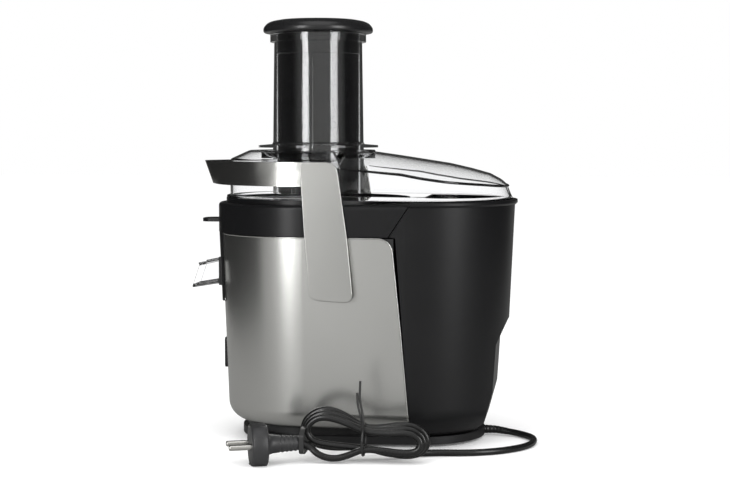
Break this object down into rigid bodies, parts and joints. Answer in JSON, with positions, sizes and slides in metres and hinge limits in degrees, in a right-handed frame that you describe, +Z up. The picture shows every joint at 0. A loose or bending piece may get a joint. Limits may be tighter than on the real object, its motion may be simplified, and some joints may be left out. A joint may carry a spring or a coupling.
{
  "type": "centrifugal juicer",
  "caption": "Upright electric centrifugal juicer with clear lid, feed tube and pusher, steel body with front spout, rear pulp bin, locking bail and tied mains lead.",
  "frame": {"origin": "centre of the machine's bounding box in plan, at the height of the feet's undersides, measured without the mains lead and plug", "axes": "+Z up, -X towards the juice spout (front), +X towards the pulp bin (rear), Y across the machine; the spindle axis is at x = -33.45 mm"},
  "size_m": [0.3197, 0.2631, 0.381],
  "materials": {
    "black_base": "satin moulded black",
    "foot_rubber": "matt",
    "zinc_steel": "zinc plated",
    "black_housing": "satin moulded black",
    "brushed_wrap": "fine brushed stainless",
    "seal_rubber": "matt rubber",
    "gloss_black": "polished black",
    "switch_plastic": "moulded",
    "lamination_steel": "stamped laminations",
    "copper_wire": "enamelled copper",
    "brass_parts": "machined",
    "circuit_board": "solder mask",
    "cord_rubber": "smooth flexible sheath",
    "plug_rubber": "moulded plug, slightly shiny",
    "pin_metal": "nickel plated",
    "tie_plastic": "plastic-coated wire",
    "ground_shaft": "ground",
    "fan_plastic": "glass-filled nylon",
    "clear_plastic": "clear moulded styrene",
    "sieve_steel": "etched stainless",
    "pusher_gloss": "polished black",
    "cap_satin": "satin dark grey",
    "brushed_bail": "fine brushed stainless",
    "satin_black": "satin moulded black"
  },
  "bodies": {
    "base": {"base_plate": "black_base", "rubber_feet": "foot_rubber", "housing_screws": "zinc_steel", "inner_housing": "black_housing", "steel_wrap": "brushed_wrap", "rear_cover": "black_housing", "motor_deck": "black_housing", "shaft_seal": "seal_rubber", "switch_bezel": "gloss_black", "switch_body": "switch_plastic", "rocker_pin": "zinc_steel", "motor_frame": "zinc_steel", "stator_core": "lamination_steel", "field_coils": "copper_wire", "motor_mounts": "seal_rubber", "brush_holders": "brass_parts", "bearing_upper": "brass_parts", "bearing_lower": "brass_parts", "control_board": "circuit_board", "interlock_switch": "switch_plastic", "bail_bush_left": "black_housing", "bail_bush_right": "black_housing", "cord_gland": "cord_rubber", "cord_tube": "cord_rubber", "cord_hank": "cord_rubber", "plug_body": "plug_rubber", "plug_pins": "pin_metal", "plug_contacts": "pin_metal", "twist_tie": "tie_plastic", "neck_tie": "tie_plastic"},
    "rotor": {"motor_shaft": "ground_shaft", "armature_core": "lamination_steel", "armature_windings": "copper_wire", "commutator": "copper_wire", "cooling_fan": "fan_plastic", "drive_coupling": "fan_plastic"},
    "bowl": {"juice_bowl": "gloss_black", "spout": "clear_plastic"},
    "basket": {"basket_hub": "fan_plastic", "grater_disc": "sieve_steel", "sieve_mesh": "sieve_steel", "basket_foot": "fan_plastic", "basket_rim": "fan_plastic", "basket_nut": "sieve_steel"},
    "lid": {"lid_cover": "clear_plastic", "feed_tube": "clear_plastic"},
    "pusher": {"pusher_body": "pusher_gloss", "pusher_cap": "cap_satin"},
    "bail": {"bail_band": "brushed_bail", "bail_arm_left": "brushed_bail", "bail_arm_right": "brushed_bail", "bail_stud_left": "zinc_steel", "bail_stud_right": "zinc_steel", "bail_pad_left": "seal_rubber", "bail_pad_right": "seal_rubber"},
    "bin": {"pulp_bin": "satin_black"},
    "rocker": {"rocker_button": "gloss_black"}
  },
  "joints": [
    {"name": "rotor_spin", "type": "hinge", "parent": "base", "child": "rotor", "pos_m": [-0.03345, 0, 0.08], "axis": [0, 0, 1], "continuous": true},
    {"name": "bowl_lift", "type": "slide", "parent": "base", "child": "bowl", "axis": [0, 0, 1], "range_m": [0, 0.018]},
    {"name": "basket_spin", "type": "hinge", "parent": "bowl", "child": "basket", "pos_m": [-0.03345, 0, 0.16], "axis": [0, 0, 1], "continuous": true},
    {"name": "lid_lift", "type": "slide", "parent": "bowl", "child": "lid", "axis": [0, 0, 1], "range_m": [0, 0.09]},
    {"name": "pusher_slide", "type": "slide", "parent": "lid", "child": "pusher", "axis": [0, 0, 1], "range_m": [0, 0.15]},
    {"name": "lock_bail", "type": "hinge", "parent": "base", "child": "bail", "pos_m": [-0.00645, 0, 0.148], "axis": [0, -1, 0], "range_deg": [0, 55]},
    {"name": "bin_slide", "type": "slide", "parent": "base", "child": "bin", "axis": [1, 0, 0], "range_m": [0, 0.12]},
    {"name": "switch_rock", "type": "hinge", "parent": "base", "child": "rocker", "pos_m": [-0.11345, 0, 0.075], "axis": [0, 1, 0], "range_deg": [0, 9]}
  ],
  "couplings": [
    {"joint": "basket_spin", "follows": "rotor_spin", "ratio": 1}
  ]
}
